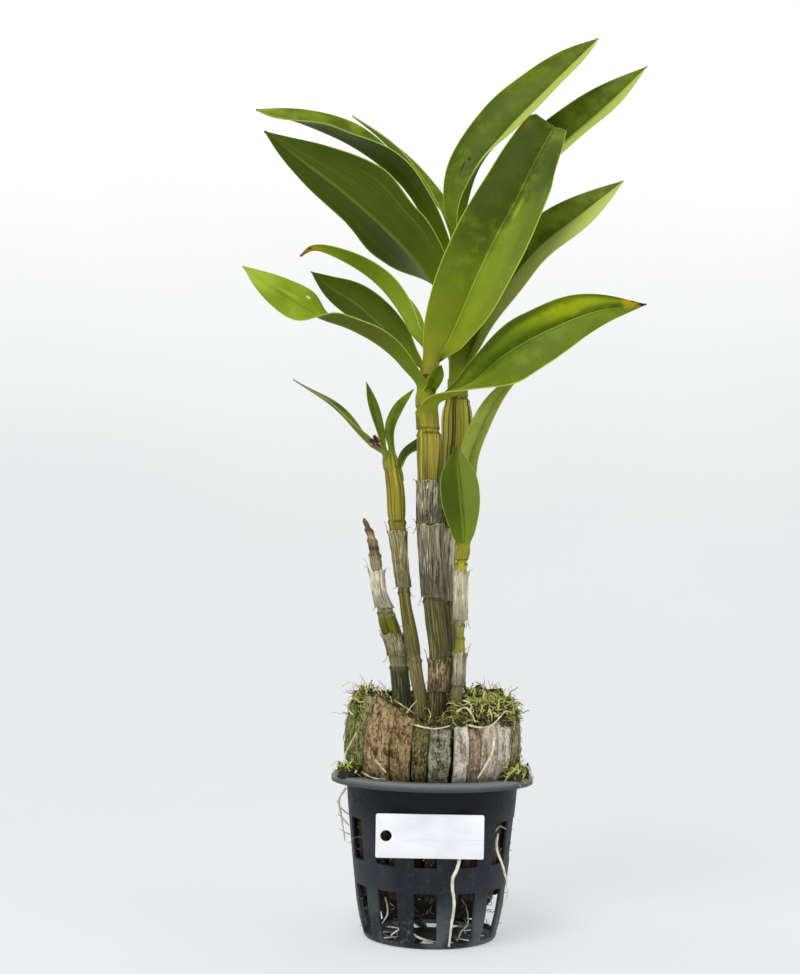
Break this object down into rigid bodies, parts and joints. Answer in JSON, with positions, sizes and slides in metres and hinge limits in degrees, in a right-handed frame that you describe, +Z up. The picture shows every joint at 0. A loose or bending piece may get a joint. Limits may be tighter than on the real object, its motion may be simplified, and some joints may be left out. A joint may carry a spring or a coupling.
{
  "type": "potted orchid",
  "caption": "Dendrobium orchid with jointed canes and folded leaves, standing in husk and moss in a slatted net pot with a blank tag.",
  "frame": {"origin": "centre of the pot's flat foot, on the surface it stands on", "axes": "+Z up along the pot's axis, +X to the plant's right seen from the tag side, -Y to the tag side"},
  "size_m": [0.2019, 0.0964, 0.4483],
  "materials": {
    "pot_plastic": "satin moulded plastic, dusty dark slate",
    "tag_plastic": "smooth white sheet plastic",
    "husk_tan": "dry fibrous husk, tan to brown, streaked along the fibre",
    "husk_grey": "weathered grey husk with a green cast",
    "moss_and_root": "damp moss, bark crumbs and fine roots",
    "root_white": "chalky white root skin",
    "cane_green": "waxy yellow-green stem, ribbed lengthwise",
    "cane_old": "dull olive stem, wrinkled lengthwise",
    "dry_sheath": "dry papery skin, pleated, silver-grey",
    "leaf_green": "waxy leaf, mid green with a pale midrib and margin",
    "leaf_light": "waxy leaf, light yellow-green",
    "leaf_dark": "waxy leaf, dark green underside",
    "dry_flower": "withered purple-brown petals"
  },
  "bodies": {
    "root": {"net_pot": "pot_plastic", "plant_tag": "tag_plastic", "husk_strip_01": "husk_grey", "husk_strip_02": "husk_tan", "husk_strip_03": "husk_tan", "husk_strip_04": "husk_tan", "husk_strip_05": "husk_tan", "husk_strip_06": "husk_grey", "husk_strip_07": "husk_grey", "husk_strip_08": "husk_tan", "husk_strip_09": "husk_tan", "husk_strip_10": "husk_grey", "husk_strip_11": "husk_tan", "husk_strip_12": "husk_grey", "husk_strip_13": "husk_tan", "husk_strip_14": "husk_grey", "husk_strip_15": "husk_tan", "husk_strip_16": "husk_grey", "husk_strip_17": "husk_tan", "cane_main": "cane_green", "cane_rear": "cane_green", "cane_left": "cane_green", "cane_old": "cane_old", "cane_young": "cane_green", "sheath_main_foot": "dry_sheath", "sheath_main_middle": "dry_sheath", "sheath_main_upper": "dry_sheath", "sheath_rear": "dry_sheath", "sheath_left": "dry_sheath", "sheath_old_upper": "dry_sheath", "sheath_old_lower": "dry_sheath", "sheath_young_upper": "dry_sheath", "sheath_young_foot": "dry_sheath", "root_ball": "moss_and_root", "leaf_main_terminal": "leaf_green", "leaf_main_right": "leaf_light", "leaf_main_left_low": "leaf_light", "leaf_main_left_dark": "leaf_dark", "leaf_main_left_curled": "leaf_green", "leaf_main_bract": "leaf_dark", "leaf_rear_right_low": "leaf_green", "leaf_rear_left_big": "leaf_green", "leaf_rear_right_top": "leaf_green", "leaf_rear_left_top": "leaf_green", "leaf_rear_left_back": "leaf_light", "leaf_rear_terminal": "leaf_green", "leaf_young_back": "leaf_light", "leaf_young_front": "leaf_green", "leaf_left_outer": "leaf_green", "leaf_left_upright": "leaf_green", "leaf_left_inner": "leaf_light", "leaf_left_low": "leaf_dark", "dry_flower": "dry_flower", "root_below_tag": "root_white", "root_right_slot": "root_white", "root_under_rim": "root_white", "root_over_husk": "root_white"}
  },
  "joints": []
}
